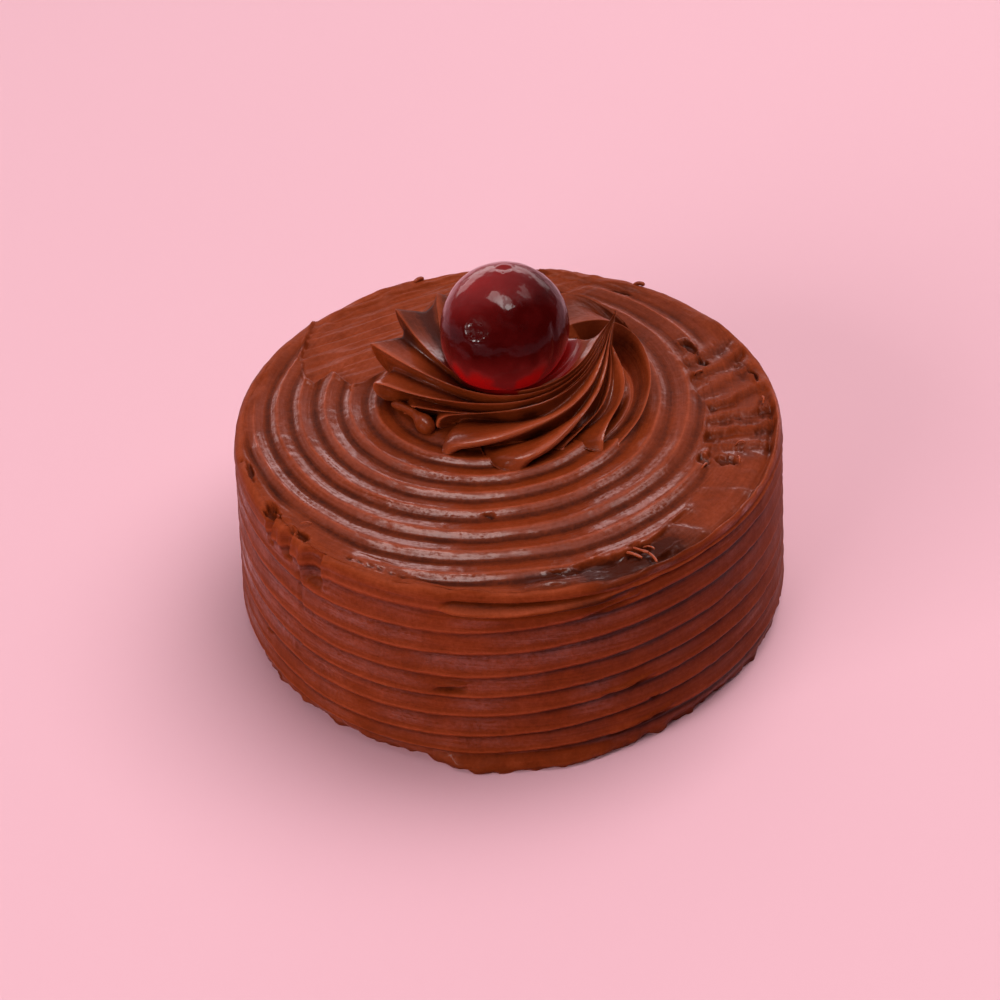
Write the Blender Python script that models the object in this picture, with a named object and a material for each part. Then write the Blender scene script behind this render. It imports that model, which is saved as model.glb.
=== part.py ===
"""Small round chocolate cake: combed frosting, a piped rosette and one candied cherry.

The origin is the middle of the flat underside, +Z is up and the front of the cake faces -Y.
Angles around the cake are measured from the front, positive towards +X, in degrees.
Lengths are written in millimetres and turned into metres when a mesh is made.
"""
import bpy
import numpy as np

MM = 0.001

# Coated cake, the driving dimensions
BASE_RADIUS = 51.9
TOP_RADIUS = 50.4
RIM_HEIGHT = 38.4
DOME_RISE = 2.0
SEGMENTS = 64

# Horizontal combing around the side
CREST_HEIGHTS = (4.2, 8.3, 13.0, 17.3, 22.0, 27.2, 32.0, 35.9)
SIDE_DEPTH = 0.55
SIDE_DEPTH_EXTRA = 0.45
DEEP_ANGLE = 35.0
DEEP_SPREAD = 45.0
# Share of the way up to the next line, and how deep the comb has cut there
SIDE_PROFILE = ((0.30, 0.75), (0.78, 1.0), (1.0, 0.0))
# Waves are sums of sines: turns around the cake, size, shift in degrees
SIDE_WAVE = ((1, 0.55, 12.0), (2, 0.85, -8.0), (3, 0.75, -4.0))
CALM_FOOT = 8.0
CALM_RIM = 6.0
UNDERCUT = 1.1
FOOT_INSET = 0.9
FOOT_WAVE = ((7, 0.35, 0.0),)
FOOT_SHARE = 0.6

# Off-centre rings combed into the top
RING_PITCH = 4.76
RING_START = 18.9
RING_COUNT = 5
RING_DEPTH = 0.9
RING_SHARE = 0.34
# Share of the way inwards from a ring to the next, and how deep the comb has cut there
RING_PROFILE = ((0.0, 0.0), (0.30, 0.55), (0.66, 1.0), (0.85, 0.45))
RING_OFFSET = 7.6
RING_OFFSET_ANGLE = -139.5
RING_OFFSET_LOSS = 0.384
RING_OFFSET_START = 34.0
RING_OFFSET_SPAN = 16.0
INNER_RING = 16.0

# Rim: a thin lip pushed up along the right front, and a scraped hollow at the rear left
LIP_HEIGHT = 1.3
LIP_ANGLE = 38.0
LIP_SPREAD = 42.0
LIP_WIDTH = 0.8
# Inset and drop of the rim's outer edge, lip and inner foot
RIM_PROFILE = ((0.0, 1.0), (0.8, -0.2), (1.6, 0.1))
RIM_WAVE = ((5, 0.25, 4.0), (9, 0.2, 0.0))
RIM_SWAY = 0.3
SCRAPE_DEPTH = 1.1
SCRAPE_ANGLE = -135.0
SCRAPE_SPREAD = 26.0
ROUGH_ANGLE = 85.0
ROUGH_SPREAD = 45.0
ROUGH_CUT = 0.9
RIM_BAND_ROWS = 7

# Rosette: blades piped in one turn, most of them drawn off together into a tail
ROSETTE_CENTRE = (0.0, 8.5)
SEAT_DROP = 0.75
SEAT_BAND = 3.0
GAP = 0.3
SEAT_MARGIN = 0.6
ROSETTE_LEVEL = 1.0
SKIN_FLOOR = -0.4
SKIRT_RADIUS = 20.0
COLUMNS_PER_BLADE = 6
FOOT_ROWS = 4
FOOT_LIFT = 0.5
FOOT_BULGE = 0.5
FOOT_TUCK = 0.4
# The wall under a high tip runs back inwards, so the tip hangs over
OVERHANG = 0.62
OVERHANG_START = 2.0
OVERHANG_LIMIT = 10.0
OVERHANG_POWER = 1.3
BLADE_ROWS = 16
ROW_CROWDING = 1.25
SEAT_ROWS = 5
BASE_SHARES = (0.3, 0.55)

# Foot of the tail: angle, sag of its middle, inner radius, width, height and belly
ROOT_ANGLE = 86.0
ROOT_SAG = 3.2
ROOT_INNER = 16.4
ROOT_SPAN = 3.3
ROOT_HEIGHT = 10.0
ROOT_BELLY = 0.5
TAIL_TIP = (20.7, 12.7, 13.4)
TAIL_SHARE = 0.24
TAIL_BACK = (0.0, 1.9, -1.3)
TAIL_BACK_WIDTH = 0.8
TAIL_PINCH = 1.25
TAIL_THREAD = 0.04
# The innermost blade stays beside the cherry: where it turns up, and where it ends
WALL_ROOT = (95.0, 13.4, 9.6)
WALL_END = (17.2, 8.8, 9.0)

# How the crests run: powers and shares of their way
SETTLE_SHARE = 0.25
ROOT_PULL = 3.2
ROOT_LIFT = 5.0
TURNED_LIFT = 1.3
# How the grooves between them are hollowed and fade out, and where the lobes swell
HOLLOW_POWER = 0.8
LOBE_POWER = 0.7
LOBE_RANGE = (0.45, 0.0)
FADE = 0.86
FADE_RANGE = (0.1, 0.85)
LEVEL_RANGE = (-0.1, 0.45)
INWARD_LOSS = 0.75
DOWN_SHARES = (0.25, 0.6)
# How far the end of a blade is rounded down: less where the tip is high
NOSE_FULL = 2.5
NOSE_LOSS = 0.26
NOSE_RANGE = (0.25, 2.2)

# Blades drawn off into the tail: angle of the tip, reach, tip height, radius beside the cherry,
# how soon it gets there and how bent, middle height, place across the tail, then the groove after
# it: its depth, the place of its bottom and the swell of the lobe
DRAWN_BLADES = (
    (-144.0, 20.8, 10.6, 8.8, 0.11, 1.0, 6.6, -1.0, 3.0, 0.62, 0.0),
    (-118.0, 22.8, 11.6, 9.2, 0.14, 1.0, 6.6, 0.00, 4.2, 0.56, 0.0),
    (-99.5, 25.2, 8.6, 10.2, 0.15, 1.0, 6.4, 0.14, 4.0, 0.52, 0.0),
    (-84.0, 24.6, 5.0, 10.8, 0.20, 1.1, 5.8, 0.28, 3.8, 0.48, 0.0),
    (-69.0, 19.8, 2.4, 11.4, 0.24, 1.1, 4.6, 0.40, 3.4, 0.50, 0.0),
    (-45.0, 18.0, 3.6, 12.8, 0.16, 1.0, 5.4, 0.54, 4.8, 0.24, 3.0),
    (-27.0, 22.0, 1.2, 16.9, 0.35, 2.0, 4.8, 0.70, 5.6, 0.24, 3.4),
    (7.0, 24.4, 1.1, 18.9, 0.37, 2.1, 4.4, 0.86, 6.0, 0.40, 0.6),
    (27.0, 21.6, 0.4, 20.3, 0.30, 1.2, 3.2, 0.94, 3.0, 0.40, 0.4),
    (39.0, 27.0, 1.2, 24.2, 0.10, 1.0, 5.6, 1.00, 5.2, 0.30, 0.0),
)
# Blades turned in towards the cherry: angle, reach, tip height, sweep, radius and height of the
# end, bend of the radius, then the same three of the groove
TURNED_BLADES = (
    (43.0, 24.4, 0.6, 62.0, 17.0, 2.2, 2.6, 0.6, 0.5, 0.0),
    (46.0, 27.4, 0.5, 68.0, 13.4, 9.8, 3.2, 5.6, 0.74, 0.0),
    (68.0, 26.2, 0.8, 82.0, 13.6, 9.6, 3.4, 5.6, 0.74, 0.0),
    (98.0, 26.0, 0.8, 76.0, 13.4, 9.2, 3.2, 5.4, 0.72, 0.0),
    (128.0, 25.6, 1.2, 72.0, 12.8, 8.8, 3.0, 5.0, 0.68, 0.0),
    (158.0, 24.6, 3.4, 64.0, 12.0, 8.2, 2.6, 4.4, 0.60, 0.0),
    (188.0, 23.4, 7.6, 58.0, 11.4, 7.8, 2.0, 3.6, 0.56, 0.0),
)

# Cherry: a ball, a little fuller along one direction low down at the left
CHERRY_CENTRE = (0.2, 7.2, 54.3)
CHERRY_RADIUS = 11.75
CHERRY_SEGMENTS = 28
CHERRY_ROWS = 16
CHERRY_DIMPLE = 0.5
DIMPLE_SHARPNESS = 26.0
SWELL_WAY = (-0.72, -0.35, -0.60)
SWELL = 0.75
SWELL_SPREAD = 0.62

# Surface colours (linear), roughness
FROSTING_COLOUR = (0.150, 0.026, 0.011)
FROSTING_ROUGHNESS = 0.42
CHERRY_COLOUR = (0.120, 0.004, 0.004)
CHERRY_ROUGHNESS = 0.12


def smooth(edge0, edge1, x):
    """Smooth step from 0 at edge0 to 1 at edge1."""
    t = np.clip((x - edge0) / (edge1 - edge0), 0.0, 1.0)
    return t * t * (3.0 - 2.0 * t)


def bell(angle, centre, spread):
    """1 at the centre angle, falling off to 0 around the cake."""
    away = (angle - centre + 180.0) % 360.0 - 180.0
    return np.exp(-(away / spread) ** 2)


def around(angle):
    """Unit direction in plan for an angle measured from the front."""
    a = np.radians(angle)
    return np.stack([np.sin(a), -np.cos(a)], axis=-1)


def dome(radius):
    """Height of the top before combing."""
    return RIM_HEIGHT + DOME_RISE * (1.0 - np.clip(radius / TOP_RADIUS, 0.0, 1.0) ** 2)


def side_radius(height):
    """Radius of the side before combing, wider at the foot."""
    share = np.clip(height / RIM_HEIGHT, 0.0, 1.0)
    return BASE_RADIUS + (TOP_RADIUS - BASE_RADIUS) * share


def wave_around(angle, waves):
    """Sum of sines around the cake."""
    total = np.zeros_like(angle)
    for turns, size, shift in waves:
        total += size * np.sin(np.radians(turns * (angle + shift)))
    return total


def side_rows(angle):
    """Rows of the side from the foot up, three to each combed line."""
    depth = SIDE_DEPTH + SIDE_DEPTH_EXTRA * bell(angle, DEEP_ANGLE, DEEP_SPREAD)
    wave = wave_around(angle, SIDE_WAVE)
    edges = (0.0,) + CREST_HEIGHTS
    rows = []
    for low, high in zip(edges[:-1], edges[1:]):
        for share, cut in SIDE_PROFILE:
            level = low + (high - low) * share
            loose = smooth(0.0, CALM_FOOT, level) * smooth(RIM_HEIGHT, RIM_HEIGHT - CALM_RIM, level)
            height = level + wave * loose
            radius = side_radius(height) - cut * depth
            rows.append((radius, height))
    return rows


def ring_offset(ring):
    """How far a ring's middle lies from the cake's middle; less for the outer rings."""
    loss = RING_OFFSET_LOSS * np.clip((ring - RING_OFFSET_START) / RING_OFFSET_SPAN, 0.0, 1.0)
    return RING_OFFSET * (1.0 - loss)


def ring_plan(ring, angle):
    """Points in plan along one off-centre ring."""
    centre = ring_offset(ring) * around(RING_OFFSET_ANGLE)
    return centre + ring * around(angle)


def ring_value(plan):
    """Which ring runs through each point in plan, found by closing in on it."""
    ring = np.hypot(plan[:, 0], plan[:, 1])
    for _ in range(8):
        centre = ring_offset(ring)[:, None] * around(RING_OFFSET_ANGLE)
        ring = np.hypot(*(plan - centre).T)
    return ring


def comb_cut(ring):
    """Depth of the comb, 0 on a crest and 1 in the groove just outside the next ring."""
    inward = ((RING_START - ring) / RING_PITCH) % 1.0
    slope = inward / (1.0 - RING_SHARE)
    rise = (1.0 - inward) / RING_SHARE
    return np.minimum(slope, rise)


def top_rows(angle):
    """Rows of the combed top from the outermost ring inwards, four to each ring."""
    rows = []
    for index in range(RING_COUNT - 1, -1, -1):
        crest = RING_START + RING_PITCH * index
        for share, cut in RING_PROFILE:
            ring = crest - share * RING_PITCH
            if ring < INNER_RING:
                continue
            plan = ring_plan(ring, angle)
            height = dome(np.hypot(plan[:, 0], plan[:, 1])) - RING_DEPTH * cut
            rows.append(np.column_stack([plan, height]))
    return rows


def rim_rows(angle, outer_ring):
    """Rows over the rim: outer edge, lip, inner foot, then two rows towards the rings."""
    lip = LIP_HEIGHT * bell(angle, LIP_ANGLE, LIP_SPREAD)
    scrape = SCRAPE_DEPTH * bell(angle, SCRAPE_ANGLE, SCRAPE_SPREAD)
    wobble = wave_around(angle, RIM_WAVE)
    rows = []
    for inset, drop in RIM_PROFILE:
        radius = TOP_RADIUS + RIM_SWAY * wobble - inset
        height = RIM_HEIGHT - drop + wobble - scrape
        if inset == LIP_WIDTH:
            height = height + lip
        rows.append(np.column_stack([radius[:, None] * around(angle), height]))
    inner = rows[-1]
    for share in np.arange(1, RIM_BAND_ROWS) / RIM_BAND_ROWS:
        row = inner * (1.0 - share) + outer_ring * share
        radius = np.hypot(row[:, 0], row[:, 1])
        rough = bell(angle, ROUGH_ANGLE, ROUGH_SPREAD)
        cut = comb_cut(ring_value(row[:, :2])) * (1.0 - rough) + ROUGH_CUT * rough
        row[:, 2] = dome(radius) - RING_DEPTH * cut - scrape * (1.0 - share)
        rows.append(row)
    return rows


def closed_mesh(name, rows, start, end):
    """Mesh of a stack of closed rows, shut at each end by a fan to one point."""
    count = len(rows[0])
    points = np.vstack([np.array([start])] + rows + [np.array([end])])
    faces = []
    last = len(points) - 1
    for column in range(count):
        after = (column + 1) % count
        faces.append((0, 1 + after, 1 + column))
        for row in range(len(rows) - 1):
            low = 1 + row * count
            high = low + count
            faces.append((low + column, low + after, high + after, high + column))
        top = 1 + (len(rows) - 1) * count
        faces.append((last, top + column, top + after))
    mesh = bpy.data.meshes.new(name)
    mesh.from_pydata([tuple(p) for p in (points * MM).tolist()], [], faces)
    mesh.validate()
    mesh.update()
    return mesh


def make_material(name, colour, roughness):
    """Plain surface of one colour."""
    material = bpy.data.materials.new(name)
    material.use_nodes = True
    shader = material.node_tree.nodes["Principled BSDF"]
    shader.inputs["Base Color"].default_value = (*colour, 1.0)
    shader.inputs["Roughness"].default_value = roughness
    shader.inputs["Metallic"].default_value = 0.0
    material.diffuse_color = (*colour, 1.0)
    return material


def place(name, mesh, material):
    """Put a finished mesh in the scene as one named object."""
    thing = bpy.data.objects.new(name, mesh)
    mesh.materials.append(material)
    mesh.shade_smooth()
    bpy.context.scene.collection.objects.link(thing)
    return thing


def seat_level(x, y):
    """Height of the smooth place under the rosette."""
    return dome(np.hypot(x, y)) - SEAT_DROP


def cake_mesh():
    """The whole coated cake as one closed body with a flat seat for the rosette."""
    angle = np.arange(SEGMENTS) * 360.0 / SEGMENTS
    direction = around(angle)
    foot = BASE_RADIUS - FOOT_INSET + wave_around(angle, FOOT_WAVE)
    rows = []
    for radius in (FOOT_SHARE * foot, foot - UNDERCUT, foot):
        rows.append(np.column_stack([radius[:, None] * direction, np.zeros(SEGMENTS)]))
    for radius, height in side_rows(angle):
        rows.append(np.column_stack([radius[:, None] * direction, height]))
    top = top_rows(angle)
    rows.extend(rim_rows(angle, top[0]))
    rows.extend(top)
    centre = np.array(ROSETTE_CENTRE)
    for row in rows:
        under = np.hypot(*(row[:, :2] - centre).T) < SKIRT_RADIUS
        level = seat_level(row[:, 0], row[:, 1])
        over = (row[:, 2] > RIM_HEIGHT - SEAT_BAND) & under
        row[over, 2] = level[over]
    middle = ring_offset(INNER_RING) * around(RING_OFFSET_ANGLE)
    end = (middle[0], middle[1], seat_level(*middle))
    return closed_mesh("frosted_cake", rows, (0.0, 0.0, 0.0), end)


def polar_point(angle, radius, height):
    """Points around the rosette's centre, with their height above the rosette's level."""
    plan = np.asarray(radius)[..., None] * around(angle) + np.array(ROSETTE_CENTRE)
    return np.concatenate([plan, np.asarray(height)[..., None]], axis=-1)


def tail_root(share):
    """Angle, radius and height where a blade reaches the tail, from its inner edge 0 to its outer 1."""
    sag = np.sin(np.pi * share)
    return ROOT_ANGLE - ROOT_SAG * sag, ROOT_INNER + ROOT_SPAN * share, ROOT_HEIGHT + ROOT_BELLY * sag


def drawn_crest(blade, t):
    """Crest of a blade that runs past the cherry and is drawn up into the tail."""
    angle, reach, tip, waist, drop, bend, middle_height, share = blade[:8]
    beside = share < 0.0
    root_angle, root_radius, root_height = WALL_ROOT if beside else tail_root(share)
    s = np.clip(t / (1.0 - TAIL_SHARE), 0.0, 1.0)
    fall = 1.0 - np.exp(-(s / drop) ** bend)
    radius = reach + (waist - reach) * fall + (root_radius - waist) * s ** ROOT_PULL
    settled = 1.0 - np.exp(-s / SETTLE_SHARE)
    height = tip + (middle_height - tip) * settled + (root_height - middle_height) * s ** ROOT_LIFT
    body = polar_point(angle + (root_angle - angle) * s, radius, height)
    drawn = np.clip((t - 1.0 + TAIL_SHARE) / TAIL_SHARE, 0.0, 1.0)[:, None]
    if beside:
        return body + (np.array(WALL_END) - body[-1]) * drawn
    middle = polar_point(*tail_root(0.5))
    offset = body[-1] - middle
    spine = middle + (np.array(TAIL_TIP) - middle) * drawn
    return np.where(drawn > 0.0, spine + offset * ((1.0 - drawn) ** TAIL_PINCH + TAIL_THREAD), body)


def turned_crest(blade, t):
    """Crest of a blade that curls in around the cherry and ends against it."""
    angle, reach, tip, sweep, end_radius, end_height, bend = blade[:7]
    turned = np.sin(0.5 * np.pi * t)
    radius = reach + (end_radius - reach) * t ** bend
    return polar_point(angle + sweep * turned, radius, tip + (end_height - tip) * turned ** TURNED_LIFT)


def return_line(blade, t):
    """From the end of a drawn blade down the back of the tail, to the tail's root."""
    share = blade[7]
    if share < 0.0:
        return np.repeat(np.array([WALL_END]), len(t), axis=0)
    middle = polar_point(*tail_root(0.5))
    offset = polar_point(*tail_root(share)) - middle
    back = middle + TAIL_BACK_WIDTH * offset + np.array(TAIL_BACK)
    tip = np.array(TAIL_TIP) + TAIL_THREAD * offset
    return tip + (back - tip) * t[:, None]


def groove_valley(across, bottom, t):
    """How deep the skin lies between two crests: down to the bottom, then up to the next crest."""
    down = np.sin(0.5 * np.pi * min(across / bottom, 1.0)) ** HOLLOW_POWER
    up = min((1.0 - across) / (1.0 - bottom), 1.0) ** (2.0 - 2.0 * bottom)
    return min(down, up) * (1.0 - FADE * smooth(*FADE_RANGE, t))


def lobe_swell(across, bottom, bulge, t):
    """How far the lobe between the bottom of a groove and the next crest is swollen at its end."""
    place_across = max(across - bottom, 0.0) / (1.0 - bottom)
    return bulge * np.sin(np.pi * place_across) ** LOBE_POWER * smooth(*LOBE_RANGE, t)


def rosette_columns():
    """Columns of the rosette's skin, crest to groove to crest all the way round."""
    t = np.linspace(0.0, 1.0, BLADE_ROWS) ** ROW_CROWDING
    down = np.array([0.0, 0.5, 1.0])
    blades = DRAWN_BLADES + TURNED_BLADES
    crests = [drawn_crest(blade, t) for blade in DRAWN_BLADES]
    crests += [turned_crest(blade, t) for blade in TURNED_BLADES]
    returns = [return_line(blade, down) for blade in DRAWN_BLADES]
    returns += [np.repeat(crest[-1:], len(down), axis=0) for crest in crests[len(DRAWN_BLADES):]]
    centre = np.array(ROSETTE_CENTRE)
    inward = smooth(*LEVEL_RANGE, t)
    low_share, high_share = DOWN_SHARES
    columns = []
    for index, blade in enumerate(blades):
        following = (index + 1) % len(blades)
        groove, bottom, bulge = blade[-3:]
        nose = np.clip(NOSE_FULL - NOSE_LOSS * crests[index][0, 2], *NOSE_RANGE)
        for step in range(COLUMNS_PER_BLADE):
            across = step / COLUMNS_PER_BLADE
            skin = crests[index] * (1.0 - across) + crests[following] * across
            depth = groove * groove_valley(across, bottom, t) - lobe_swell(across, bottom, bulge, t)
            outward = skin[:, :2] - centre
            outward = outward / np.linalg.norm(outward, axis=1)[:, None]
            skin[:, :2] -= outward * (depth * (1.0 - INWARD_LOSS * inward))[:, None]
            skin[:, 2] -= depth * (low_share + high_share * inward)
            skin[0, 2] -= np.clip(skin[0, 2], 0.0, nose)
            skin[:, 2] = np.maximum(skin[:, 2], SKIN_FLOOR)
            back = returns[index] * (1.0 - across) + returns[following] * across
            columns.append(np.vstack([skin, back[1:]]))
    return columns


def cherry_reach(away):
    """Radius of the cherry along unit directions."""
    way = np.array(SWELL_WAY) / np.linalg.norm(SWELL_WAY)
    gap = np.linalg.norm(away - way, axis=-1)
    return CHERRY_RADIUS + SWELL * np.exp(-(gap / SWELL_SPREAD) ** 2)


def rosette_mesh():
    """The piped rosette: flat base, foot rows, blade rows, then a bowl under the cherry."""
    skin = np.stack(rosette_columns(), axis=1)
    skin[:, :, 2] += RIM_HEIGHT + ROSETTE_LEVEL
    tips = skin[0]
    centre = np.array(ROSETTE_CENTRE)
    rows = []
    for share in BASE_SHARES:
        plan = centre + (tips[:, :2] - centre) * share
        rows.append(np.column_stack([plan, dome(np.hypot(plan[:, 0], plan[:, 1])) + GAP]))
    outward = tips[:, :2] - centre
    reach = np.linalg.norm(outward, axis=1)
    raised = np.clip(tips[:, 2] - RIM_HEIGHT - OVERHANG_START, 0.0, OVERHANG_LIMIT)
    for step in range(FOOT_ROWS):
        share = step / FOOT_ROWS
        tuck = (FOOT_TUCK + OVERHANG * raised) * (1.0 - share) ** OVERHANG_POWER
        tuck = tuck - FOOT_BULGE * np.sin(np.pi * share)
        plan = centre + outward * (1.0 - tuck / reach)[:, None]
        low = dome(np.hypot(plan[:, 0], plan[:, 1])) + GAP
        high = np.maximum(tips[:, 2], low + FOOT_LIFT)
        rows.append(np.column_stack([plan, low + (high - low) * share]))
    rows.extend(list(skin))
    cherry = np.array(CHERRY_CENTRE)
    seat = cherry - np.array([0.0, 0.0, CHERRY_RADIUS + GAP + SEAT_MARGIN])
    inner = rows[-1]
    for step in range(1, SEAT_ROWS):
        share = step / SEAT_ROWS
        rows.append(inner * (1.0 - share) + seat * share)
    for row in rows:
        floor = dome(np.hypot(row[:, 0], row[:, 1])) + GAP
        row[:, 2] = np.maximum(row[:, 2], floor)
        away = row - cherry
        length = np.linalg.norm(away, axis=1)[:, None]
        clearance = cherry_reach(away / length)[:, None] + GAP + SEAT_MARGIN
        near = length[:, 0] < clearance[:, 0]
        row[near] = cherry + away[near] * clearance[near] / length[near]
    middle = (centre[0], centre[1], dome(np.hypot(*centre)) + GAP)
    return closed_mesh("rosette", rows, middle, tuple(seat))


def cherry_mesh():
    """The cherry with the small dent of a missing stalk on top."""
    angle = np.arange(CHERRY_SEGMENTS) * 360.0 / CHERRY_SEGMENTS
    centre = np.array(CHERRY_CENTRE)
    rows = []
    for step in range(1, CHERRY_ROWS):
        polar = np.pi * step / CHERRY_ROWS
        level = np.full((CHERRY_SEGMENTS, 1), -np.cos(polar))
        away = np.hstack([np.sin(polar) * around(angle), level])
        dent = CHERRY_DIMPLE * np.exp(-DIMPLE_SHARPNESS * (1.0 + np.cos(polar)))
        rows.append(centre + away * (cherry_reach(away) - dent)[:, None])
    up = np.array([0.0, 0.0, 1.0])
    bottom = centre - up * cherry_reach(-up)
    top = centre + up * (cherry_reach(up) - CHERRY_DIMPLE)
    return closed_mesh("cherry", rows, tuple(bottom), tuple(top))


def main():
    for thing in list(bpy.data.objects):
        bpy.data.objects.remove(thing, do_unlink=True)
    frosting = make_material("frosting", FROSTING_COLOUR, FROSTING_ROUGHNESS)
    candied = make_material("candied_cherry", CHERRY_COLOUR, CHERRY_ROUGHNESS)
    place("frosted_cake", cake_mesh(), frosting)
    place("rosette", rosette_mesh(), frosting)
    place("cherry", cherry_mesh(), candied)


main()
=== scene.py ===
import math
from types import SimpleNamespace

import bpy
import numpy as np
from mathutils import Matrix, Vector


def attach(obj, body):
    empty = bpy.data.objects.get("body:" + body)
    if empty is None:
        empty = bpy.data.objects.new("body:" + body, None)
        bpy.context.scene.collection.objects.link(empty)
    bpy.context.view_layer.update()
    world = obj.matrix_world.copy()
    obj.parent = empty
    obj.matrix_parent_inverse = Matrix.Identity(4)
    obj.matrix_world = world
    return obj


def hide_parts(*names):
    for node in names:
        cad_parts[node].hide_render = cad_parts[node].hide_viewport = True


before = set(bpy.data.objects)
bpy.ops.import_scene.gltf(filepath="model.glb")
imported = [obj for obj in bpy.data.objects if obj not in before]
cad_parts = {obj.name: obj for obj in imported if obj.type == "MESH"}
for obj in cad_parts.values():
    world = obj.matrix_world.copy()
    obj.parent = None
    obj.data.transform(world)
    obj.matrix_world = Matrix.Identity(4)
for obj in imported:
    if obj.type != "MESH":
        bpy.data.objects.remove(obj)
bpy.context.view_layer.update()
scene = bpy.context.scene
mm = 0.001

# Angles run around the cake from the front, positive to the right, in degrees; lengths are in mm.


# shared shape helpers

def smooth(low, high, x):
    # smooth step: 0 below low, 1 above high, 3t^2 - 2t^3 in between
    t = np.clip((x - low) / (high - low), 0, 1)
    return t * t * (3 - 2 * t)


def bell(x, centre, spread):
    # exp(-(distance / spread)^2)
    return np.exp(-((x - centre) / spread) ** 2)


def between(x, start, full, fading, end):
    # 0 outside start and end, 1 from full to fading: one smooth step up times one down
    return smooth(start, full, x) * smooth(end, fading, x)


def sizeOf(v):
    # length of each vector
    return np.linalg.norm(v, axis=-1)


def unit(v):
    # each vector divided by its own length
    return v / sizeOf(v)[..., None]


def turnFrom(angle, centre):
    # how far an angle lies from another, from -180 to 180
    return (angle - centre + 180) % 360 - 180


def arcFrom(angle, centre, radius):
    # the same as a length along a circle: angle in radians times radius
    return turnFrom(angle, centre) * radius * math.pi / 180


def around(angle):
    # unit direction in plan: (sin a, -cos a)
    a = np.radians(angle)
    return np.stack([np.sin(a), -np.cos(a)], axis=-1)


def cellValue(x, y, z, seed):
    # a repeatable number from 0 to 1 for every whole-number cell, by mixing its three numbers
    mixed = x * 73856093 ^ y * 19349663 ^ z * 83492791 ^ seed * 51787
    mixed = (mixed ^ (mixed >> 13)) * 1274126177
    return ((mixed ^ (mixed >> 16)) & 65535) / 65535


def noise(points, size, seed=0):
    # value noise from -1 to 1: the eight cell corners around a point, weighted by smooth steps
    p = points / np.asarray(size, float) + 200
    cell = np.floor(p).astype(np.int64)
    f = p - cell
    f = f * f * (3 - 2 * f)
    total = 0
    for dx in (0, 1):
        wx = f[..., 0] if dx else 1 - f[..., 0]
        for dy in (0, 1):
            wxy = wx * (f[..., 1] if dy else 1 - f[..., 1])
            for dz in (0, 1):
                weight = wxy * (f[..., 2] if dz else 1 - f[..., 2])
                total += weight * cellValue(cell[..., 0] + dx, cell[..., 1] + dy, cell[..., 2] + dz, seed)
    return 2 * total - 1


def fractal(points, size, seed=0, octaves=3):
    # sum of noise layers, each half the size and half the strength of the one before
    total = 0
    for k in range(octaves):
        total += noise(points, np.asarray(size, float) / 2 ** k, seed + 7 * k) * 0.5 ** k
    return total / 1.6


def stack3(x, y, z):
    # three arrays as one array of points
    return np.stack(np.broadcast_arrays(x, y, z), axis=-1)


# meshes from grids

def fillMesh(name, points, quads, tris):
    # vertices and faces straight from arrays, quads first and then triangles
    mesh = bpy.data.meshes.new(name)
    corners = np.concatenate([quads.ravel(), tris.ravel()]).astype(np.int32)
    starts = np.concatenate([np.arange(len(quads)) * 4, 4 * len(quads) + np.arange(len(tris)) * 3])
    mesh.vertices.add(len(points))
    mesh.vertices.foreach_set("co", (points * mm).astype(np.float32).ravel())
    mesh.loops.add(len(corners))
    mesh.loops.foreach_set("vertex_index", corners)
    mesh.polygons.add(len(starts))
    mesh.polygons.foreach_set("loop_start", starts.astype(np.int32))
    mesh.update(calc_edges=True)
    mesh.validate()
    mesh.shade_smooth()
    return mesh


def closedGrid(name, grid, start, end, sharpRows=()):
    # rows of a closed outline stacked from the start point to the end point, each end shut by a fan
    rows, columns = grid.shape[:2]
    points = np.vstack([[start], grid.reshape(-1, 3), [end]])
    index = 1 + np.arange(rows * columns).reshape(rows, columns)
    after = np.roll(index, -1, axis=1)
    quads = np.stack([index[:-1], after[:-1], after[1:], index[1:]], axis=-1).reshape(-1, 4)
    first = np.zeros(columns, int)
    last = np.full(columns, rows * columns + 1)
    fans = ((first, after[0], index[0]), (last, index[-1], after[-1]))
    tris = np.vstack([np.column_stack(fan) for fan in fans])
    mesh = fillMesh(name, points, quads, tris)
    if len(sharpRows):
        ends = np.empty(2 * len(mesh.edges), np.int32)
        mesh.edges.foreach_get("vertices", ends)
        rowOf = (ends.reshape(-1, 2) - 1) // columns
        same = (rowOf[:, 0] == rowOf[:, 1]) & np.isin(rowOf[:, 0], np.array(sharpRows) % rows)
        mesh.attributes.new("sharp_edge", "BOOLEAN", "EDGE").data.foreach_set("value", same)
    return mesh


def paint(mesh, **values):
    # one number per vertex, under the name that the material reads
    for name, value in values.items():
        flat = np.asarray(value, np.float32).ravel()
        ends = len(mesh.vertices) - len(flat)
        flat = np.concatenate([flat[:1], flat, flat[-1:]]) if ends == 2 else flat
        mesh.attributes.new(name, "FLOAT", "POINT").data.foreach_set("value", flat)


def place(name, mesh, material, slot, *nodes):
    # the finished piece at the origin, riding on the cake, in the place of the named solids
    piece = bpy.data.objects.new(name, mesh)
    mesh.materials.append(material)
    scene.collection.objects.link(piece)
    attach(piece, "root")
    if nodes:
        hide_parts(*nodes)
    return piece


# short forms for shader trees

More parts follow.
